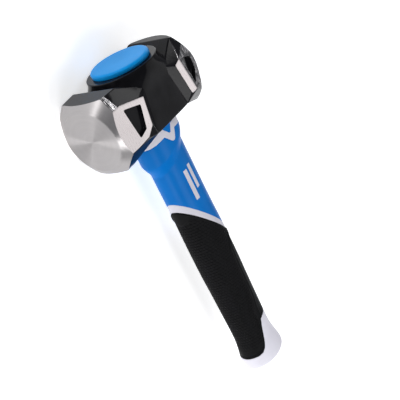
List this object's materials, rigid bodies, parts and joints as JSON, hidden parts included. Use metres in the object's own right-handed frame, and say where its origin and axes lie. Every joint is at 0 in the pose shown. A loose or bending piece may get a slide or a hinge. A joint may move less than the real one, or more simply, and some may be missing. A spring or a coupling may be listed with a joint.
{
  "type": "short-handled club hammer",
  "caption": "Short sledge (club) hammer: octagonal forged steel head with turned bevelled faces, bonded handle with moulded jacket, rubber grip and end cap.",
  "frame": {"origin": "middle of the base of the whole hammer's box, as it lies on one cheek", "axes": "+X down the handle to the butt, +Y along the head to its far face, +Z the normal of the upper cheek"},
  "size_m": [0.272, 0.114, 0.055],
  "materials": {
    "head_enamel": "gloss black enamel over forged steel, with the striking faces, bevels and cheek pads ground bright",
    "blue_plastic": "moulded satin blue plastic",
    "epoxy": "cast epoxy",
    "glass_fibre": "pultruded glass fibre",
    "white_plastic": "moulded satin white plastic",
    "grip_rubber": "moulded black rubber with a fine hexagonal texture"
  },
  "bodies": {
    "root": {"head": "head_enamel", "top_cap": "blue_plastic", "eye_resin": "epoxy", "core_rod": "glass_fibre", "handle_shell": "blue_plastic", "collar_inlay": "white_plastic", "stripe_band": "white_plastic", "grip_sleeve": "grip_rubber", "end_cap": "white_plastic"}
  },
  "joints": []
}
